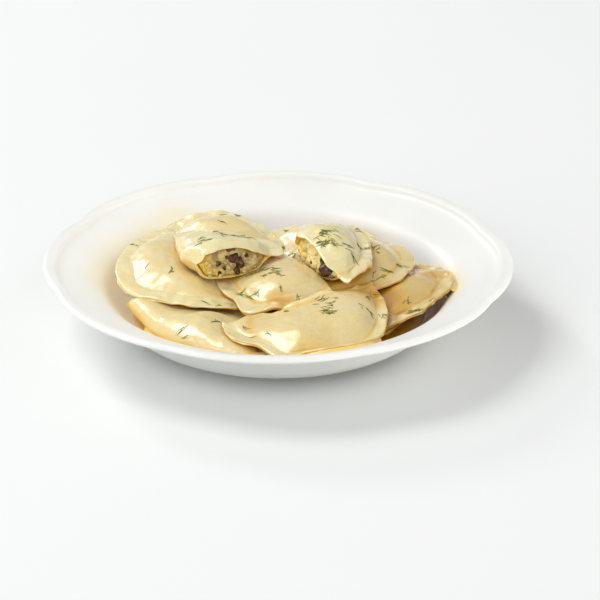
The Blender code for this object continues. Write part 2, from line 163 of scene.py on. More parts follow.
ROUGH_FORWARD, ROUGH_OUTWARD = 0.6, 0.4
GOLD_SIDE, GOLD_WAVE, GOLD_WAVE_SIZE = (-0.85, -0.35), 0.5, 4.0  # buttery at one side of the cut
FACE_RAY_START, FACE_RAY_LENGTH = 8.0, 25.0

# ---------------------------------------------------------------- dill
# Sprigs in plan: x, y, spread, needles, heading in degrees.
DILL = [
    (-78, 32, 0, 1, 0), (-55, -10, 1, 2, 60), (-68, -4, 0.5, 1, 30), (-39, -25, 1, 2, -40),
    (-31, -29, 1, 1, 10), (-39, 2, 3, 6, 20), (-34, 12, 2, 3, 40), (-28, 9, 4, 5, -20),
    (-20, 8, 3, 5, 35), (-31, 51, 1.5, 3, -50), (-23, 72, 1.5, 3, -40), (-31, 62, 1, 1, 20),
    (-15, -8, 2, 5, 60), (-10, -7, 4, 9, 35), (-4, -14, 4, 9, -20), (0, -16, 2, 3, -70),
    (-19, -22, 0.5, 1, 70), (-12, -25, 0.5, 2, -50), (2, -29, 0.5, 2, 90), (10, -29, 0.5, 2, -60),
    (5, 31, 1.5, 4, 60), (2, 66, 1, 2, -50), (-33, -50, 1, 3, 60), (-51, -56, 2, 4, 20),
    (-47, -58, 1, 2, -40), (-23, -25, 1, 3, 80), (-20, -22, 1.5, 3, -30), (-15, -25, 2, 4, -40),
    (20, -41, 3.5, 8, 30), (23, -47, 4, 11, -30), (25, -52, 2.5, 6, 20), (27, -37, 1, 2, -10),
    (3, -44, 1.5, 3, 20), (-17, -55, 1, 2, -70), (-14, -64, 0.5, 1, 0), (-6, -62, 1, 2, -60),
    (44, -32, 1.5, 4, -60), (40, -42, 1, 1, 0), (44, -46, 2, 4, -60), (52, -46, 1.5, 4, -40),
    (49, -22, 1, 3, -60), (21, 8, 2, 5, 0), (26, 8, 3.5, 9, -30), (26, 1, 3, 8, -50),
    (20, 4, 1.5, 4, 0), (20, 0, 2, 6, -10), (23, -3, 2, 6, 40), (33, -3, 3, 6, 10),
    (40, 31, 1.5, 3, 20), (40, 13, 2, 4, -60), (45, 12, 2, 4, 0), (38, -5, 1, 3, -70),
    (50, 15, 2.5, 6, 60), (48, -8, 1.5, 3, 50), (54, -3, 3, 8, 10), (62, 9, 2.5, 5, 0),
    (65, -30, 1.5, 4, 70), (66, -35, 2.5, 6, -10), (71, -36, 1.5, 5, -60), (77, -31, 1, 2, 60),
]
NEEDLE_RADIUS = 0.16
NEEDLE_POINTS, NEEDLE_SIDES = 7, 5
NEEDLE_LENGTH = (2.4, 6.2)
NEEDLE_SCATTER_DEG = 26
NEEDLE_BEND = (-0.8, 0.8)
NEEDLE_TAPER = (0.55, math.pi - 0.25)  # the sine of this gives the thickness, from stalk to tip
NEEDLE_STEEPEST, NEEDLE_STEP = 1.6, 0.4  # it ends where the surface drops off faster than this
NEEDLE_SINK = 0.8  # its axis lies this share of its radius over the surface
SPRIG_SCATTER = 0.6
ABOVE_ALL = 80.0  # higher than the heap
BRANCHED_SHARE = 0.2
TWIG_TURN, TWIG_LENGTH, TWIG_BEND = (0.5, 0.9), 0.5, 0.3

# ---------------------------------------------------------------- stage
# Here lengths are in metres, but for the floor's, the lens's and the sensor's. Powers are in watts.
FLOOR_HALF_MM = 2500
WORLD_COLOUR, WORLD_STRENGTH = (0.99, 0.99, 0.985, 1.0), 0.45
LIGHTS = [  # name, place, width, height and power
    ("softbox", (-2.2, 0.66, 3.5), 2.1, 2.1, 74.0),
    ("window", (-2.1, 2.8, 1.9), 0.6, 0.8, 26.0),
    ("front_fill", (0.1, -4.8, 3.2), 3.5, 3.0, 52.0),
    ("left_fill", (-3.2, -3.2, 2.4), 3.5, 3.0, 68.0),
    ("right_fill", (3.0, -1.5, 2.5), 3.0, 3.0, 16.0),
]
PLATE_LIGHT = ("plate_bounce", (3.0, -0.3, 0.5), 1.5, 1.0, 56.0)
PLATE_LIGHT_COLOUR = (1.0, 0.95, 0.87)
CAMERA_PLACE, CAMERA_TILT_DEG = (0.011236, -1.463707, 0.684546), 65.4
FOCAL_LENGTH_MM, SENSOR_MM = 187.97, 36.0


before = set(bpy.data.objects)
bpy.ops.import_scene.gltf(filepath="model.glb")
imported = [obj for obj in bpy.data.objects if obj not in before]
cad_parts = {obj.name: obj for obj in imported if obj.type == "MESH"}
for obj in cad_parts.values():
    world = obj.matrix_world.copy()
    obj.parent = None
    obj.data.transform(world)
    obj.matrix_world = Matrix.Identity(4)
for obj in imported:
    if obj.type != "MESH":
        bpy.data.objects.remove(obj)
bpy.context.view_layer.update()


# ---------------------------------------------------------------- meshes
def new_object(name, points, faces):
    mesh = bpy.data.meshes.new(name)
    mesh.from_pydata((np.asarray(points) * MM).tolist(), [], faces)
    mesh.shade_smooth()
    obj = bpy.data.objects.new(name, mesh)
    bpy.context.scene.collection.objects.link(obj)
    return obj


def points_of(mesh):
    flat = np.empty(len(mesh.vertices) * 3)
    mesh.vertices.foreach_get("co", flat)
    return flat.reshape(-1, 3) / MM


def normals_of(mesh):
    flat = np.empty(len(mesh.vertices) * 3)
    mesh.vertices.foreach_get("normal", flat)
    return flat.reshape(-1, 3)


def set_points(mesh, points):
    mesh.vertices.foreach_set("co", (points * MM).ravel())
    mesh.update()


def set_mask(mesh, name, values):
    """Stores one number per vertex, which a material reads by this name."""
    mask = mesh.attributes.new(name, "FLOAT", "POINT")
    mask.data.foreach_set("value", np.asarray(values, np.float32))


def smoothstep(low, high, x):
    t = np.clip((x - low) / (high - low), 0, 1)
    return t * t * (3 - 2 * t)


def falloff(points, place, reach):
    """1 at the place, fading to 0 at the reach."""
    return np.clip(1 - (np.linalg.norm(points - place, axis=1) / reach) ** 2, 0, 1) ** 2


def noise_at(points, size, seed):
    """Smooth noise in -1..1 over features of this size."""
    shift = Vector((seed * 17.3, seed * 5.1, seed * 9.7))
    return np.array([noise.noise(Vector(p) / size + shift) for p in points])


def drift_at(points, size, seed):
    """Smooth displacement vectors, each part within -1..1, over features of this size."""
    return np.column_stack([noise_at(points, size, seed + part) for part in (0.23, 0.5, 0.81)])


def layered(source, points, layers, seed):
    """The sum of several layers of noise or drift."""
    return sum(height * source(points, size, seed + step) for height, size, step in layers)


def fine_mesh(node, name, levels):
    """A smooth copy of a node's surface: welded, paired into quads and subdivided."""
    shell = bmesh.new()
    shell.from_mesh(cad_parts[node].data)
    bmesh.ops.remove_doubles(shell, verts=shell.verts, dist=1e-6)
    bmesh.ops.join_triangles(shell, faces=shell.faces, angle_face_threshold=math.radians(50),
                             angle_shape_threshold=math.radians(60))
    coarse = bpy.data.meshes.new("coarse")
    shell.to_mesh(coarse)
    shell.free()
    obj = bpy.data.objects.new("coarse", coarse)
    bpy.context.scene.collection.objects.link(obj)
    smooth = obj.modifiers.new("smooth", "SUBSURF")
    smooth.levels = smooth.render_levels = levels
    graph = bpy.context.evaluated_depsgraph_get()
    mesh = bpy.data.meshes.new_from_object(obj.evaluated_get(graph))
    bpy.data.objects.remove(obj)
    bpy.data.meshes.remove(coarse)
    mesh.name = name
    mesh.materials.clear()
    mesh.shade_smooth()
    piece = bpy.data.objects.new(name, mesh)
    bpy.context.scene.collection.objects.link(piece)
    return piece


def tree_of(points, polygons):
    return BVHTree.FromPolygons(points.tolist(), polygons)


def polygons_of(mesh, offset=0):
    return [[v + offset for v in p.vertices] for p in mesh.polygons]


def distance_to(tree, point, reach):
    """Distance to the surface, or the reach where that is nearer."""
    found = tree.find_nearest(Vector(point), reach)
    return reach if found[3] is None else found[3]


def distances_to(tree, points, reach):
    return np.array([distance_to(tree, p, reach) for p in points])


def neighbour_mean(mesh):
    """A function from one value or vector per vertex to the mean over each vertex's neighbours."""
    edges = np.empty(len(mesh.edges) * 2, int)
    mesh.edges.foreach_get("vertices", edges)
    a, b = edges.reshape(-1, 2).T
    degree = np.bincount(edges, minlength=len(mesh.vertices))

    def mean(values):
        total = np.zeros_like(values)
        np.add.at(total, a, values[b])
        np.add.at(total, b, values[a])
        return (total.T / degree).T

    return mean


def soften(mesh, weight, rounds):
    """Rounds off the surface where the weight is 1."""
    mean, points = neighbour_mean(mesh), points_of(mesh)
    step = SOFTENING * np.broadcast_to(weight, len(points))[:, None]
    for _ in range(rounds):
        points += step * (mean(points) - points)
    set_points(mesh, points)


def relax(mesh, rounds):
    """Evens out the surface without shrinking it: after each step that smooths, one that swells."""
    mean, points = neighbour_mean(mesh), points_of(mesh)
    for _ in range(rounds):
        for step in RELAXING:
            points += step * (mean(points) - points)
    set_points(mesh, points)


def spread(mesh, values, rounds):
    """Smooths a per-vertex number over the surface."""
    mean = neighbour_mean(mesh)
    for _ in range(rounds):
        values = 0.5 * values + 0.5 * mean(values)
    return values


def bulge(mesh):
    """How far each point stands out of its neighbours, in mm."""
    points = points_of(mesh)
    return np.sum((points - neighbour_mean(mesh)(points)) * normals_of(mesh), axis=1)


def merged_tree(pieces):
    """A search tree over several objects."""
    points, polygons, count = [], [], 0
    for piece in pieces:
        points.append(points_of(piece.data))
        polygons += polygons_of(piece.data, count)
        count += len(points[-1])
    return tree_of(np.vstack(points), polygons)


def joined(name, parts):
    """One object from several sets of points and faces."""
    points, faces = [], []
    for part_points, part_faces in parts:
        start = sum(len(p) for p in points)
        faces += [[v + start for v in face] for face in part_faces]
        points.append(part_points)
    return new_object(name, np.vstack(points), faces)


def band(rings, across):
    """Faces between rings of points that follow each other, each ring closed on itself."""
    return [(i * across + j, (i + 1) * across + j, (i + 1) * across + (j + 1) % across,
             i * across + (j + 1) % across) for i in range(rings - 1) for j in range(across)]


def finish(piece, slot, material, *nodes):
    """Gives a piece its material, and ties it to the model."""
    piece.data.materials.append(material)
    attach(piece, "root")
    if nodes:
        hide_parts(*nodes)


# ---------------------------------------------------------------- materials
class Nodes:
    """Short calls for building a node tree."""

    def __init__(self, tree):
        self.tree, self.shader = tree, tree.nodes["Principled BSDF"]

    def node(self, kind, **settings):
        made = self.tree.nodes.new(kind)
        for key, value in settings.items():
            setattr(made, key, value)
        return made

    def link(self, source, target):
        self.tree.links.new(source, target)

    def put(self, socket, value):
        """Links a socket, or sets a plain value."""
        if isinstance(value, bpy.types.NodeSocket):
            self.link(value, socket)
        else:
            socket.default_value = value

    def mask(self, name):
        return self.node("ShaderNodeAttribute", attribute_name=name).outputs["Fac"]

    def noise(self, scale, detail=3.0, roughness=0.5, distortion=0.0):
        """Noise in object space, in features per metre."""
        made = self.node("ShaderNodeTexNoise")
        self.link(self.node("ShaderNodeTexCoord").outputs["Object"], made.inputs["Vector"])
        for key, value in (("Scale", scale), ("Detail", detail), ("Roughness", roughness),
                           ("Distortion", distortion)):
            made.inputs[key].default_value = value
        return made.outputs["Fac"]

    def math(self, operation, a, b=0.0):
        made = self.node("ShaderNodeMath", operation=operation)
        self.put(made.inputs[0], a)
        self.put(made.inputs[1], b)
        return made.outputs[0]

    def remap(self, value, low, high, to_low=0.0, to_high=1.0):
        made = self.node("ShaderNodeMapRange", interpolation_type="SMOOTHSTEP")
        self.put(made.inputs["Value"], value)
        ends = {"From Min": low, "From Max": high, "To Min": to_low, "To Max": to_high}
        for key, number in ends.items():
            made.inputs[key].default_value = number
        return made.outputs["Result"]

    def mix(self, factor, a, b, blend="MIX"):
        made = self.node("ShaderNodeMix", data_type="RGBA", blend_type=blend)
        self.put(made.inputs["Factor"], factor)
        self.put(made.inputs[6], a)
        self.put(made.inputs[7], b)
        return made.outputs[2]

    def bump(self, height, strength, distance_mm, below=None):
        made = self.node("ShaderNodeBump")
        self.put(made.inputs["Height"], height)
        made.inputs["Strength"].default_value = strength
        made.inputs["Distance"].default_value = distance_mm * MM
        if below is not None:
            self.link(below, made.inputs["Normal"])
        return made.outputs["Normal"]

    def set(self, **values):
        for key, value in values.items():
            self.put(self.shader.inputs[key.replace("_", " ")], value)


def new_material(name):
    material = bpy.data.materials.new(name)
    material.use_nodes = True
    return material, Nodes(material.node_tree)


def colour(r, g, b):
    return (r, g, b, 1.0)


def porcelain_material():
    material, t = new_material("porcelain")
    body = t.mix(t.remap(t.noise(18.0), 0.35, 0.7), colour(0.78, 0.785, 0.757),
                 colour(0.81, 0.815, 0.79))
    # Near the food the warm tint is a butter stain and a painted reflection of the food.
    film = t.mask("butter")
    uneven = t.remap(t.math("ADD", film, t.math("MULTIPLY", t.noise(90.0, 4.0), 0.35)), 0.25, 1.15)
    tint = t.mix(uneven, colour(1, 1, 1), colour(1.0, 0.93, 0.75))
    base = t.mix(t.mask("pooled"), t.mix(1.0, body, tint, "MULTIPLY"), colour(0.66, 0.36, 0.07))
    t.set(Base_Color=base, Roughness=t.remap(t.noise(60.0, 2.0), 0.3, 0.7, 0.36, 0.42), IOR=1.5,
          Specular_IOR_Level=0.4, Coat_Weight=0.08, Coat_Roughness=0.2)
    return material


def dough_material():
    material, t = new_material("dough")
    thin, shelter_shade, under, cut = (t.mask(name) for name in ("thin", "shelter_shade", "under", "cut"))
    belly = t.mix(t.remap(t.noise(85.0, 4.0, 0.55, 0.4), 0.3, 0.72), colour(0.79, 0.63, 0.265),
                  colour(0.82, 0.68, 0.35))
    speck = t.remap(t.noise(520.0, 3.0, 0.6), 0.42, 0.75)
    belly = t.mix(t.math("MULTIPLY", speck, 0.25), belly, colour(0.90, 0.79, 0.46))
    # painted highlight: the seal is paler towards its edge
    edge = t.mix(t.remap(thin, 0.6, 1.0, 0.0, 0.55), belly, colour(0.91, 0.78, 0.42))
    groove = t.math("MULTIPLY", thin, t.math("SUBTRACT", 1.0, thin))
    uneven = t.math("MULTIPLY", t.math("SUBTRACT", t.noise(60.0, 3.0), 0.5), 0.7)
    # butter soaks in where neighbours shelter the dough, on downward faces and in the seal's groove;
    # the same sum paints shade and a yellow bounce there
    soak_and_shade = t.math("ADD", t.math("ADD", shelter_shade, t.math("MULTIPLY", under, 0.95)), uneven)
    soak_and_shade = t.math("ADD", soak_and_shade, t.math("MULTIPLY", groove, 2.2))
    soaked_and_shaded = t.mix(t.remap(soak_and_shade, 0.15, 1.1), edge, colour(0.86, 0.54, 0.085))
    soaked_and_shaded = t.mix(t.remap(soak_and_shade, 0.9, 1.6), soaked_and_shaded, colour(0.70, 0.36, 0.03))
    # painted shade: darker by the dim mask
    dimmed = t.mix(t.mask("dim"), soaked_and_shaded, t.mix(1.0, soaked_and_shaded, colour(0.66, 0.57, 0.33), "MULTIPLY"))
    # painted highlight along the edge of the seal
    rim_highlighted = t.mix(t.math("MULTIPLY", t.mask("rim_highlight"), 0.8), dimmed, colour(0.90, 0.80, 0.54))
    base = t.mix(t.remap(cut, 0.1, 0.9), rim_highlighted, colour(0.87, 0.62, 0.16))
    skin = t.bump(t.noise(190.0, 2.0, 0.5), 0.7, 0.6)
    skin = t.bump(t.noise(460.0, 4.0, 0.6, 0.6), 0.8, 0.35, skin)
    t.set(Base_Color=base, Roughness=t.remap(t.noise(150.0, 3.0), 0.3, 0.7, 0.3, 0.5), IOR=1.42,
          Specular_IOR_Level=0.35, Subsurface_Weight=0.4, Subsurface_Scale=0.005, Coat_Weight=0.9,
          Coat_Roughness=0.2, Coat_IOR=1.9, Normal=skin)
    t.shader.inputs["Subsurface Radius"].default_value = (1.0, 0.72, 0.35)
    return material


def filling_material():
    material, t = new_material("filling")
    fine, broad = t.noise(420.0, 4.0, 0.65), t.noise(170.0, 4.0, 0.6)
    mash = t.mix(t.remap(fine, 0.35, 0.65), colour(0.47, 0.32, 0.085), colour(0.74, 0.57, 0.22))
    mash = t.mix(t.remap(broad, 0.50, 0.62), mash, colour(0.31, 0.185, 0.07))
    potato = t.mix(t.remap(fine, 0.35, 0.65), colour(0.86, 0.68, 0.26), colour(0.95, 0.84, 0.42))
    mash = t.mix(t.mask("pale"), mash, potato)
    gold = t.mix(t.math("MULTIPLY", t.mask("gold"), 0.8), mash, colour(0.87, 0.60, 0.07))
    base = t.mix(t.remap(t.noise(560.0, 4.0, 0.7), 0.64, 0.72), gold, colour(0.20, 0.09, 0.025))
    t.set(Base_Color=base, Roughness=t.remap(fine, 0.3, 0.7, 0.38, 0.6), Subsurface_Weight=0.15,
          Subsurface_Scale=0.002, Coat_Weight=0.3, Coat_Roughness=0.2)
    t.set(Normal=t.bump(t.noise(900.0, 5.0, 0.7), 0.8, 0.35))
    return material


def mushroom_material():
    material, t = new_material("mushroom")
    base = t.mix(t.remap(t.noise(380.0, 4.0), 0.4, 0.6), colour(0.022, 0.010, 0.005),
                 colour(0.12, 0.042, 0.014))
    base = t.mix(t.remap(t.noise(210.0, 2.0), 0.56, 0.66), base, colour(0.24, 0.165, 0.09))
    t.set(Base_Color=base, Roughness=0.5, Specular_IOR_Level=0.3, Coat_Weight=0.1,
          Coat_Roughness=0.25)
    t.set(Normal=t.bump(t.noise(1200.0, 4.0), 0.5, 0.15))
    return material


def butter_material():
    material, t = new_material("butter")
    depth = t.mask("depth")
    base = t.mix(t.remap(depth, 0.0, 0.9), colour(0.92, 0.69, 0.24), colour(0.66, 0.33, 0.012))
    cloudy = t.math("MULTIPLY", t.remap(t.noise(120.0, 3.0), 0.4, 0.7), 0.3)
    base = t.mix(cloudy, base, colour(0.72, 0.44, 0.05))
    t.set(Base_Color=base, Roughness=0.2, IOR=1.4, Specular_IOR_Level=0.4)
    t.set(Normal=t.bump(t.noise(300.0, 2.0), 0.5, 0.3))
    return material


def dill_material():
    material, t = new_material("dill")
    base = t.mix(t.remap(t.noise(350.0, 3.0), 0.3, 0.7), colour(0.085, 0.115, 0.018),
                 colour(0.21, 0.26, 0.04))
    t.set(Base_Color=base, Roughness=0.55, Specular_IOR_Level=0.25, Subsurface_Weight=0.1,
          Subsurface_Scale=0.0005)
    return material


def floor_material():
    material, t = new_material("floor")
    base = t.mix(t.remap(t.noise(3.0, 2.0), 0.3, 0.7), colour(0.855, 0.865, 0.86),
                 colour(0.865, 0.875, 0.87))
    t.set(Base_Color=base, Roughness=0.6, Specular_IOR_Level=0.2)
    return material


# ---------------------------------------------------------------- plate
def lobe_factor(angle):
    """1 at a cusp of the rim, falling to 0 over the lobe on either side."""
    turn = math.radians(FIRST_CUSP_DEG)
    return (1 - np.abs(np.sin(LOBES / 2 * (angle - turn)))) ** CUSP_SHARPNESS


def curve_through(points, steps):
    """Centripetal Catmull-Rom curve through the points, ends included."""
    p = np.array(points, float)
    p = np.vstack([2 * p[0] - p[1], p, 2 * p[-1] - p[-2]])
    result = []
    for a, b, c, d in zip(p, p[1:], p[2:], p[3:]):
        t1 = math.sqrt(np.linalg.norm(b - a))
        t2 = t1 + math.sqrt(np.linalg.norm(c - b))
        t3 = t2 + math.sqrt(np.linalg.norm(d - c))
        for t in np.linspace(t1, t2, steps, endpoint=False):
            ab = a * (t1 - t) / t1 + b * t / t1
            bc = b * (t2 - t) / (t2 - t1) + c * (t - t1) / (t2 - t1)
            cd = c * (t3 - t) / (t3 - t2) + d * (t - t2) / (t3 - t2)
            abc = ab * (t2 - t) / t2 + bc * t / t2
            bcd = bc * (t3 - t) / (t3 - t1) + cd * (t - t1) / (t3 - t1)
            result.append(abc * (t2 - t) / (t2 - t1) + bcd * (t - t1) / (t2 - t1))
    return np.array(result + [p[-2]])


def plate_points():
    """Rings of points from the middle of the well, over the rim and back to the middle underneath."""
    inner = [(r, WELL_HEIGHT) for r in WELL_RADII]
    under = [(50.0, 3.0), (34.0, BASE_HEIGHT), (16.0, BASE_HEIGHT), (4.0, BASE_HEIGHT)]
    profile = curve_through(inner + PLATE_PROFILE + under, PROFILE_STEPS)
    profile[:, 0] = np.clip(profile[:, 0], 1.0, RIM_RADIUS)
    profile[:, 1] = np.clip(profile[:, 1], 0.0, RIM_HEIGHT)
    angles = math.radians(FIRST_CUSP_DEG) + np.linspace(0, math.tau, PLATE_SEGMENTS, endpoint=False)
    cusp = lobe_factor(angles)
    share = np.clip((profile[:, 0] - LOBING_STARTS) / (RIM_RADIUS - LOBING_STARTS), 0, 1)[:, None]
    radius = profile[:, :1] - CUSP_DEPTH * cusp * share
    height = profile[:, 1:] - CUSP_DIP * cusp * share
    return np.stack([radius * np.cos(angles), radius * np.sin(angles), height], axis=-1)


def make_plate(food_tree):
    """The plate, stained by butter near the food, where the stain is also a painted warm reflection
    of the food.
    """
    rings = plate_points()
    count, across = rings.shape[:2]
    points = np.vstack([rings.reshape(-1, 3), [[0, 0, WELL_HEIGHT], [0, 0, BASE_HEIGHT]]])
    faces = band(count, across)
    last = (count - 1) * across
    for j in range(across):
        k = (j + 1) % across
        faces.append((len(points) - 2, j, k))
        faces.append((len(points) - 1, last + k, last + j))
    points += points / RIM_RADIUS * (GLAZE_WAVE * noise_at(points, GLAZE_WAVE_SIZE, 3))[:, None]
    plate = new_object("soup_plate", points, faces)
    near = distances_to(food_tree, points, STAIN_AND_REFLECTION_REACH)
    x, y, z = points.T
    inside = (normals_of(plate.data)[:, 2] > 0) & (z < STAIN_AND_REFLECTION_TOP)
    # butter stain and painted warm reflection of the food, near it and on the left wall
    around = smoothstep(*STAIN_AND_REFLECTION_NEAR, near)
    at_left = smoothstep(*LEFT_STAIN_AND_REFLECTION_NEAR, near) * smoothstep(*LEFT_STAIN_AND_REFLECTION_X, x)
    set_mask(plate.data, "butter", inside * (STAIN_AND_REFLECTION_AMOUNT * around + LEFT_STAIN_AND_REFLECTION_AMOUNT * at_left))
    low_at_right = smoothstep(*POOLED_Z, z) * smoothstep(*POOLED_X, x) * smoothstep(*POOLED_Y, y)
    set_mask(plate.data, "pooled", inside * low_at_right * smoothstep(*POOLED_NEAR, near))
    finish(plate, "porcelain", porcelain_material(), "plate")
    return plate


# ---------------------------------------------------------------- dough
def thickness(tree, points, normals):
    """How thick the solid is under each point."""
    result = np.full(len(points), THICKEST)
    for i, (p, n) in enumerate(zip(points, normals)):
        hit = tree.ray_cast(Vector(p - n * THICKNESS_START), Vector(-n), THICKEST)
        if hit[3] is not None:
            result[i] = hit[3]
    return result


def shelter_of(tree, points, normals):
    """How closely other surfaces stand over each point, from 0 in the open to 1."""
    tilt = math.radians(SHELTER_TILT_DEG)
    spins = [k * math.tau / SHELTER_WAYS for k in range(SHELTER_WAYS)]
    total = np.zeros(len(points))
    helper = np.where(np.abs(normals[:, 2:]) < 0.9, [[0.0, 0.0, 1.0]], [[1.0, 0.0, 0.0]])
    u = np.cross(normals, helper)
    u /= np.linalg.norm(u, axis=1)[:, None]
    v = np.cross(normals, u)
    around = [u * math.cos(spin) + v * math.sin(spin) for spin in spins]
    ways = [normals] + [normals * math.cos(tilt) + side * math.sin(tilt) for side in around]
    for way in ways:
        for i, (p, n, w) in enumerate(zip(points, normals, way)):
            hit = tree.ray_cast(Vector(p + n * SHELTER_START), Vector(w), SHELTER_REACH)
            if hit[3] is not None:
                total[i] += 1 - hit[3] / SHELTER_REACH
    return total / len(ways)


def facing_of(node):
    angle = math.radians(CUT_FACING_DEG[node])
    return np.array([math.cos(angle), math.sin(angle), 0.0])


def pinch(mesh, place, inner, outer):
    """Presses the two sheets together around a place."""
    points, up = points_of(mesh), np.array([0, 0, 1])
    side = normals_of(mesh)[:, 2]
    thick = thickness(tree_of(points, polygons_of(mesh)), points, np.outer(np.sign(side), up))
    thick[thick > TOO_THICK] = PINCHED_THICK
    away = np.linalg.norm(points - place, axis=1)
    weight = smoothstep(outer, inner, away) * smoothstep(0, 0.3, np.abs(side))
    excess = np.clip(thick - PINCHED_THICK, 0, PINCH_LIMIT)
    move = spread(mesh, weight * np.sign(side) * excess / 2, rounds=3)
    set_points(mesh, points - np.outer(move, up))


def shape_dough(piece, seed, core=None, facing=None):
    """Gives a dumpling the unevenness of hand-made dough: a thin wavy seal and a lumpy belly."""
    mesh, node = piece.data, piece["stands_for"]
    if node in PINCHED:
        pinch(mesh, *PINCHED[node])
    relax(mesh, EVENING_ROUNDS)
    points = points_of(mesh)
    thick = thickness(tree_of(points, polygons_of(mesh)), points, normals_of(mesh))
    thin = spread(mesh, 1 - smoothstep(FLANGE_THIN, FLANGE_THICK, thick), rounds=4)
    slope = spread(mesh, 1 - smoothstep(FLANGE_THIN, SHOULDER_THICK, thick), rounds=4)
    free = np.ones(len(points))
    if core is not None:
        free = smoothstep(*CORE_CLEARANCE, distances_to(core, points, CORE_REACH))
    soften(mesh, np.clip(SHOULDER_GAIN * slope * (1 - slope), 0, 1) * free, SHOULDER_ROUNDS)
    points = points_of(mesh)
    lumps = layered(noise_at, points, DOUGH_LUMPS, seed)
    grain = layered(noise_at, points, DOUGH_GRAIN, seed)
    move = free * (DOUGH_SWELL + lumps * (1 - thin) - EDGE_THINNING * thin) + grain
    sway = layered(drift_at, points, SEAL_WAVES, seed) * FRILL.get(node, 1.0)
    points += normals_of(mesh) * move[:, None] + sway * (thin * free)[:, None]
    if facing is not None:
        points += overhang(points, facing) + droop(points, facing)
    set_points(mesh, points + settling(node, points))
    set_mask(mesh, "thin", thin)
    # a painted highlight along the edge of the seal
    edge = spread(mesh, smoothstep(*RIM_BULGE, bulge(mesh)), rounds=1)
    set_mask(mesh, "rim_highlight", edge * smoothstep(*RIM_THIN, thin))


def settling(node, points):
    """How a dumpling sags over what it lies on."""
    return sum(np.outer(falloff(points, place, reach), shift)
               for place, reach, shift in SETTLING.get(node, []))


def near_cut(points, facing):
    """1 at the cut end of a half dumpling, 0 well behind it; then the same for its upper side."""
    depth, height = points @ facing, points[:, 2]
    close = smoothstep(*(depth.max() - back for back in CUT_END), depth)
    middle = (height[close > 0.5].max() + height[close > 0.5].min()) / 2
    return close, close * smoothstep(*(middle + over for over in CUT_UPPER), height)


def droop(points, facing):
    """The upper side of the cut end sags."""
    upper = near_cut(points, facing)[1]
    return np.outer(upper * (CUT_DROOP + noise_at(points, CUT_DROOP_SIZE, CUT_SEED)), [0, 0, -1])


def overhang(points, facing):
    """The upper sheet of a cut dumpling hangs out over its filling, and the lower one is a lip."""
    close, upper = near_cut(points, facing)
    ragged = CUT_RAGGED * noise_at(points, CUT_RAGGED_SIZE, CUT_SEED) + CUT_FORWARD
    return np.outer(CUT_OVERHANG * upper + close * ragged, facing)


def shade_dough(piece, tree, face, material):
    """Where the dough is soaked with butter, painted darker as shade and paler as light, given a
    painted yellow bounce where it faces down, and cut.
    """
    mesh, node = piece.data, piece["stands_for"]
    points, normals = points_of(mesh), normals_of(mesh)
    # butter soaked in, darker as painted shade, and paler as painted light where the amount is
    # negative
    soaked_and_shaded = sum(amount * falloff(points, place, reach) for place, reach, amount in SOAKING_AND_SHADE)
    # painted shade where neighbours stand close over the dough, where butter also collects
    shelter_shade = spread(mesh, shelter_of(tree, points, normals), rounds=3)
    set_mask(mesh, "shelter_shade", shelter_shade + BUTTERED_AND_SHADED.get(node, 0.0) + soaked_and_shaded)
    # dough facing down gets painted shade and a painted yellow bounce
    set_mask(mesh, "under", spread(mesh, 1 - smoothstep(*UNDERSIDE, normals[:, 2]), rounds=6))
    # painted shade
    set_mask(mesh, "dim", SHADED.get(node, 0.0) + SOAKED_SHADE * soaked_and_shaded)
    cut = np.zeros(len(points))
    if face is not None:
        cut = 1 - smoothstep(*CUT_EDGE, distances_to(face.tree, points, CUT_EDGE_REACH))
    set_mask(mesh, "cut", cut)
    finish(piece, "dough", material, node)


def make_dough():
    pieces = []
    for number, node in enumerate(DUMPLINGS + HALVES):
        piece = fine_mesh(node, "dough_" + node, DOUGH_LEVELS)
        piece["stands_for"] = node
        if node in HALVES:
            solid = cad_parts[node + "_filling"].data
            core = tree_of(points_of(solid), polygons_of(solid))
            shape_dough(piece, number + 1, core, facing_of(node))
        else:
            shape_dough(piece, number + 1)
        pieces.append(piece)
    return pieces


# ---------------------------------------------------------------- filling
class CutFace:
    """The mash seen in a cut dumpling. Places on it are shares of its half width and half height."""

    def __init__(self, mash, facing):
        points = points_of(mash)
        self.facing, self.across = facing, np.array([-facing[1], facing[0], 0.0])
        self.tree = tree_of(points, polygons_of(mash))
        depth = points @ facing
        cap = points[depth > depth.max() - CAP_DEPTH]
        self.depth = depth.max()
        self.middle, self.half = [], []
        for axis in (self.across, np.array([0, 0, 1.0])):
            low, high = (cap @ axis).min(), (cap @ axis).max()
            self.middle.append((low + high) / 2)
            self.half.append((high - low) / 2)

    def share_across(self, points):
        return (points @ self.across - self.middle[0]) / self.half[0]

    def place(self, across, up):
        """The point of the mash there, or None beside it."""
        aside = self.middle[0] + across * self.half[0]
        start = self.facing * (self.depth + FACE_RAY_START) + self.across * aside
        start[2] = self.middle[1] + up * self.half[1]
        hit = self.tree.ray_cast(Vector(start), Vector(-self.facing), FACE_RAY_LENGTH)
        return None if hit[0] is None else np.array(hit[0])


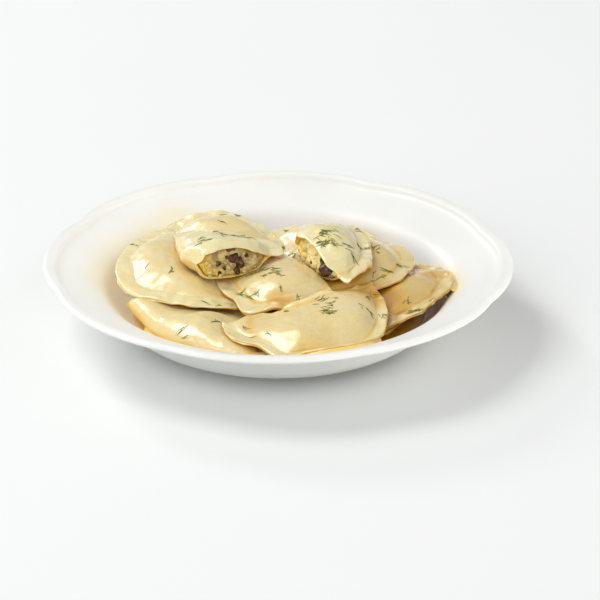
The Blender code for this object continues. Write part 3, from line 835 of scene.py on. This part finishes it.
def make_filling(node, seed):
    """Mash that fills the wrapper snugly and stands out of the cut in a crumbly face."""
    piece = fine_mesh(node + "_filling", node + "_mash", MASH_LEVELS)
    mesh, facing = piece.data, facing_of(node)
    points, normals = points_of(mesh), normals_of(mesh)
    depth = points @ facing
    cap = smoothstep(*(depth.max() - back for back in CAP_END), depth)
    rough = cap * (layered(noise_at, points, MASH_GRAIN, seed) + CAP_FORWARD)
    outward = ROUGH_FORWARD * facing + ROUGH_OUTWARD * normals
    move = MASH_SWELL * normals + rough[:, None] * outward
    set_points(mesh, points + move + droop(points, facing) + settling(node, points))
    face = CutFace(mesh, facing)
    side = face.share_across(points) + GOLD_WAVE * noise_at(points, GOLD_WAVE_SIZE, seed + 3)
    set_mask(mesh, "gold", 1 - smoothstep(*GOLD_SIDE, side))
    set_mask(mesh, "pale", np.full(len(points), PALENESS[node]))
    return piece, face


def lump(size, seed, facing):
    """An irregular crumb around the origin, with its faces."""
    shell = bmesh.new()
    bmesh.ops.create_icosphere(shell, subdivisions=3, radius=1.0)
    points = np.array([v.co for v in shell.verts])
    faces = [[v.index for v in f.verts] for f in shell.faces]
    shell.free()
    points *= (1 + layered(noise_at, points, LUMP_SHAPE, seed))[:, None]
    points -= np.outer(points @ facing, facing) * (1 - LUMP_DEPTH)
    return points * size, faces


def make_mushrooms(faces):
    parts = []
    for node, bits in MUSHROOMS.items():
        facing = faces[node].facing
        for number, (across, up, size) in enumerate(bits):
            place = faces[node].place(across, up)
            if place is not None:
                points, polygons = lump(size, number * 3 + len(bits), facing)
                parts.append((points + place - facing * size * MUSHROOM_SINK, polygons))
    finish(joined("mushroom_bits", parts), "filling", mushroom_material())


def make_crumbs(faces, material):
    """Mash that crumbled at the cut."""
    rng = random.Random(11)
    parts = []
    for face in faces.values():
        for number in range(CRUMBS):
            place = face.place(rng.uniform(*CRUMB_ACROSS), rng.uniform(*CRUMB_UP))
            if place is not None:
                points, polygons = lump(rng.uniform(*CRUMB_SIZE), 300 + number * 7, face.facing)
                parts.append((points + place, polygons))
    crumbs = joined("mash_crumbs", parts)
    set_mask(crumbs.data, "gold", 0.25 + 0.5 * noise_at(points_of(crumbs.data), 3.0, 5))
    set_mask(crumbs.data, "pale", np.full(len(crumbs.data.vertices), CRUMB_PALENESS))
    finish(crumbs, "filling", material)


# ---------------------------------------------------------------- dill
def draped(tree, x, y, heading, length, bend):
    """Points of a needle laid on what is below it, or None where it would hang in the air."""
    points = []
    steepest = NEEDLE_STEEPEST * length / NEEDLE_POINTS + NEEDLE_STEP
    for step in np.linspace(0, 1, NEEDLE_POINTS):
        turn = heading + bend * (step - 0.5)
        if step:
            x += math.cos(turn) * length / (NEEDLE_POINTS - 1)
            y += math.sin(turn) * length / (NEEDLE_POINTS - 1)
        hit = tree.ray_cast(Vector((x, y, ABOVE_ALL)), Vector((0, 0, -1)), ABOVE_ALL + 10)
        if hit[0] is None or (points and abs(hit[0].z - points[-1][2]) > steepest):
            break
        points.append(np.array(hit[0]) + np.array(hit[1]) * NEEDLE_RADIUS * NEEDLE_SINK)
    return np.array(points) if len(points) > 2 else None


def needle(path):
    """A thin tapering thread along the path."""
    along = np.gradient(path, axis=0)
    along /= np.linalg.norm(along, axis=1)[:, None]
    aside = np.cross(along, [0, 0, 1.0])
    aside /= np.linalg.norm(aside, axis=1)[:, None] + 1e-9
    up = np.cross(aside, along)
    radius = NEEDLE_RADIUS * np.sin(np.linspace(*NEEDLE_TAPER, len(path)))
    turns = np.linspace(0, math.tau, NEEDLE_SIDES, endpoint=False)
    rings = path[:, None] + radius[:, None, None] * (np.cos(turns)[None, :, None] * aside[:, None]
                                                     + np.sin(turns)[None, :, None] * up[:, None])
    faces = [(a, d, c, b) for a, b, c, d in band(len(path), NEEDLE_SIDES)]
    ring = range(NEEDLE_SIDES)
    faces += [tuple(ring)[::-1], tuple(v + (len(path) - 1) * NEEDLE_SIDES for v in ring)]
    return rings.reshape(-1, 3), faces


def make_dill(tree):
    """Chopped dill: sprigs of short threads, some of them branched."""
    rng = random.Random(7)
    parts = []
    for x, y, spread_mm, count, heading in DILL:
        for _ in range(count):
            scatter = spread_mm * SPRIG_SCATTER
            at = (x + rng.gauss(0, scatter), y + rng.gauss(0, scatter))
            turn = math.radians(heading + rng.gauss(0, NEEDLE_SCATTER_DEG))
            length, bend = rng.uniform(*NEEDLE_LENGTH), rng.uniform(*NEEDLE_BEND)
            path = draped(tree, *at, turn, length, bend)
            if path is None:
                continue
            parts.append(needle(path))
            if rng.random() < BRANCHED_SHARE:
                for side in (-1, 1):
                    fork = path[rng.randint(1, len(path) - 2)]
                    aside = turn + side * rng.uniform(*TWIG_TURN)
                    twig = draped(tree, fork[0], fork[1], aside, length * TWIG_LENGTH, TWIG_BEND)
                    if twig is not None:
                        parts.append(needle(twig))
    finish(joined("dill", parts), "herbs", dill_material())


# ---------------------------------------------------------------- butter
def make_butter_pool():
    """The pool in the well: a level surface that ends where the plate rises through it."""
    profile = curve_through(PLATE_PROFILE[:WALL_SPANS], 24)
    edge = np.interp(BUTTER_LEVEL, profile[:, 1], profile[:, 0])
    shore = edge - SHORE_WIDTH
    outer = shore + (SHORE_WIDTH + SHORE_OVERLAP) * np.linspace(0.15, 1, SHORE_RINGS)
    radii = np.concatenate([np.linspace(0.5, shore, POOL_RINGS), outer])
    angles = np.linspace(0, math.tau, POOL_SEGMENTS, endpoint=False)
    points = []
    for radius in radii:
        meniscus = MENISCUS * smoothstep(edge - MENISCUS_WIDTH, edge + SHORE_OVERLAP, radius)
        for angle in angles:
            x, y = radius * math.cos(angle), radius * math.sin(angle)
            at = Vector((x / POOL_RIPPLE_SIZE, y / POOL_RIPPLE_SIZE, 2.0))
            points.append((x, y, BUTTER_LEVEL + POOL_RIPPLE * noise.noise(at) + meniscus))
    points = np.array(points)
    middle = tuple(range(len(angles)))[::-1]
    pool = new_object("butter_pool", points, band(len(radii), len(angles)) + [middle])
    floor = np.interp(np.linalg.norm(points[:, :2], axis=1), profile[:, 0], profile[:, 1])
    set_mask(pool.data, "depth", np.clip((points[:, 2] - floor) / POOL_DEEP, 0, 1))
    finish(pool, "butter", butter_material())


def make_butter_film(pieces, food, plate, everything):
    """Butter between food and plate: their surface closed over its gaps, kept where it shows."""
    film = joined("butter_film", [(points_of(piece.data) + normals_of(piece.data) * CREASE_REACH,
                                   polygons_of(piece.data)) for piece in pieces])
    rebuild = film.modifiers.new("rebuild", "REMESH")
    rebuild.mode, rebuild.voxel_size, rebuild.use_smooth_shade = "VOXEL", CREASE_VOXEL * MM, True
    graph = bpy.context.evaluated_depsgraph_get()
    mesh = bpy.data.meshes.new_from_object(film.evaluated_get(graph))
    film.modifiers.clear()
    film.data = mesh
    soften(mesh, 1.0, rounds=2)
    set_points(mesh, points_of(mesh) - normals_of(mesh) * (CREASE_REACH + CREASE_SINK))
    soften(mesh, 1.0, rounds=4)
    points = points_of(mesh)
    thinning = sum(amount * falloff(points, place, reach) for place, reach, amount in FILM_BREAKS)
    farther = np.maximum(distances_to(food, points, FILM_REACH),
                         distances_to(plate, points, FILM_REACH))
    between = farther < FILM_REACH * np.clip(1 - thinning, 0, 1)
    height = [height_over(everything, p) if near else -1.0 for p, near in zip(points, between)]
    keep_shown(mesh, height)
    body = film.modifiers.new("body", "SOLIDIFY")
    body.thickness, body.offset = FILM_THICKNESS * MM, -1.0
    set_mask(mesh, "depth", np.zeros(len(mesh.vertices)))
    finish(film, "butter", butter_material())


def keep_shown(mesh, height):
    """Keeps what stands out over the surface with a border of two faces, but no tiny islands."""
    shell = bmesh.new()
    shell.from_mesh(mesh)
    shown = {f for f in shell.faces if max(height[v.index] for v in f.verts) > CREASE_SHOWS}
    for _ in range(2):
        shown |= {other for f in shown for v in f.verts for other in v.link_faces}
    bmesh.ops.delete(shell, geom=[f for f in shell.faces if f not in shown], context="FACES")
    drop_small_islands(shell, SMALLEST_FILM)
    shell.to_mesh(mesh)
    shell.free()


def height_over(tree, point):
    """Distance from the surface, negative under it."""
    place, normal, _, distance = tree.find_nearest(Vector(point))
    return distance if (Vector(point) - place).dot(normal) > 0 else -distance


def drop_small_islands(shell, fewest):
    """Deletes connected groups of fewer faces than this."""
    left, doomed = set(shell.faces), []
    while left:
        island, edge = set(), [left.pop()]
        while edge:
            face = edge.pop()
            island.add(face)
            for side in face.edges:
                for other in side.link_faces:
                    if other in left:
                        left.remove(other)
                        edge.append(other)
        if len(island) < fewest:
            doomed += island
    bmesh.ops.delete(shell, geom=doomed, context="FACES")


# ---------------------------------------------------------------- stage
def make_stage(plate):
    """The white floor and the lights, one of which reaches the plate alone."""
    h = FLOOR_HALF_MM
    floor = new_object("floor", [(-h, -h, 0), (h, -h, 0), (h, h, 0), (-h, h, 0)], [(0, 1, 2, 3)])
    floor.data.materials.append(floor_material())
    world = bpy.data.worlds.new("studio")
    bpy.context.scene.world = world
    world.use_nodes = True
    background = world.node_tree.nodes["Background"]
    background.inputs["Color"].default_value = WORLD_COLOUR
    background.inputs["Strength"].default_value = WORLD_STRENGTH
    for light in LIGHTS:
        add_light(*light)
    bounce = add_light(*PLATE_LIGHT)
    bounce.data.color = PLATE_LIGHT_COLOUR
    only_plate = bpy.data.collections.new("plate_only")
    only_plate.objects.link(plate)
    bounce.light_linking.receiver_collection = only_plate
    bounce.light_linking.blocker_collection = only_plate
    bpy.context.scene.view_settings.view_transform = "Standard"


def add_light(name, place, width, height, power):
    """A rectangular light that faces the plate."""
    light = bpy.data.lights.new(name, "AREA")
    light.shape, light.size, light.size_y, light.energy = "RECTANGLE", width, height, power
    obj = bpy.data.objects.new(name, light)
    obj.location = place
    obj.rotation_euler = (-Vector(place)).to_track_quat("-Z", "Y").to_euler()
    bpy.context.scene.collection.objects.link(obj)
    return obj


def make_camera():
    """A long lens in front of the plate, looking down at it."""
    camera = bpy.data.cameras.new("camera")
    camera.lens, camera.sensor_width = FOCAL_LENGTH_MM, SENSOR_MM
    obj = bpy.data.objects.new("camera", camera)
    obj.location = CAMERA_PLACE
    obj.rotation_euler = (math.radians(CAMERA_TILT_DEG), 0, 0)
    bpy.context.scene.collection.objects.link(obj)
    bpy.context.scene.camera = obj


# ---------------------------------------------------------------- all together
def main():
    make_camera()
    dough = make_dough()
    mash, faces = {}, {}
    for number, node in enumerate(HALVES):
        mash[node], faces[node] = make_filling(node, 40 + 10 * number)
    food = merged_tree(dough + list(mash.values()))
    plate = make_plate(food)
    everything = merged_tree(dough + list(mash.values()) + [plate])
    skin = dough_material()
    for piece in dough:
        shade_dough(piece, everything, faces.get(piece["stands_for"]), skin)
    filling = filling_material()
    for node in HALVES:
        finish(mash[node], "filling", filling, node + "_filling")
    make_mushrooms(faces)
    make_crumbs(faces, filling)
    make_butter_pool()
    make_butter_film(dough + [plate], food, merged_tree([plate]), everything)
    make_dill(everything)
    make_stage(plate)


main()
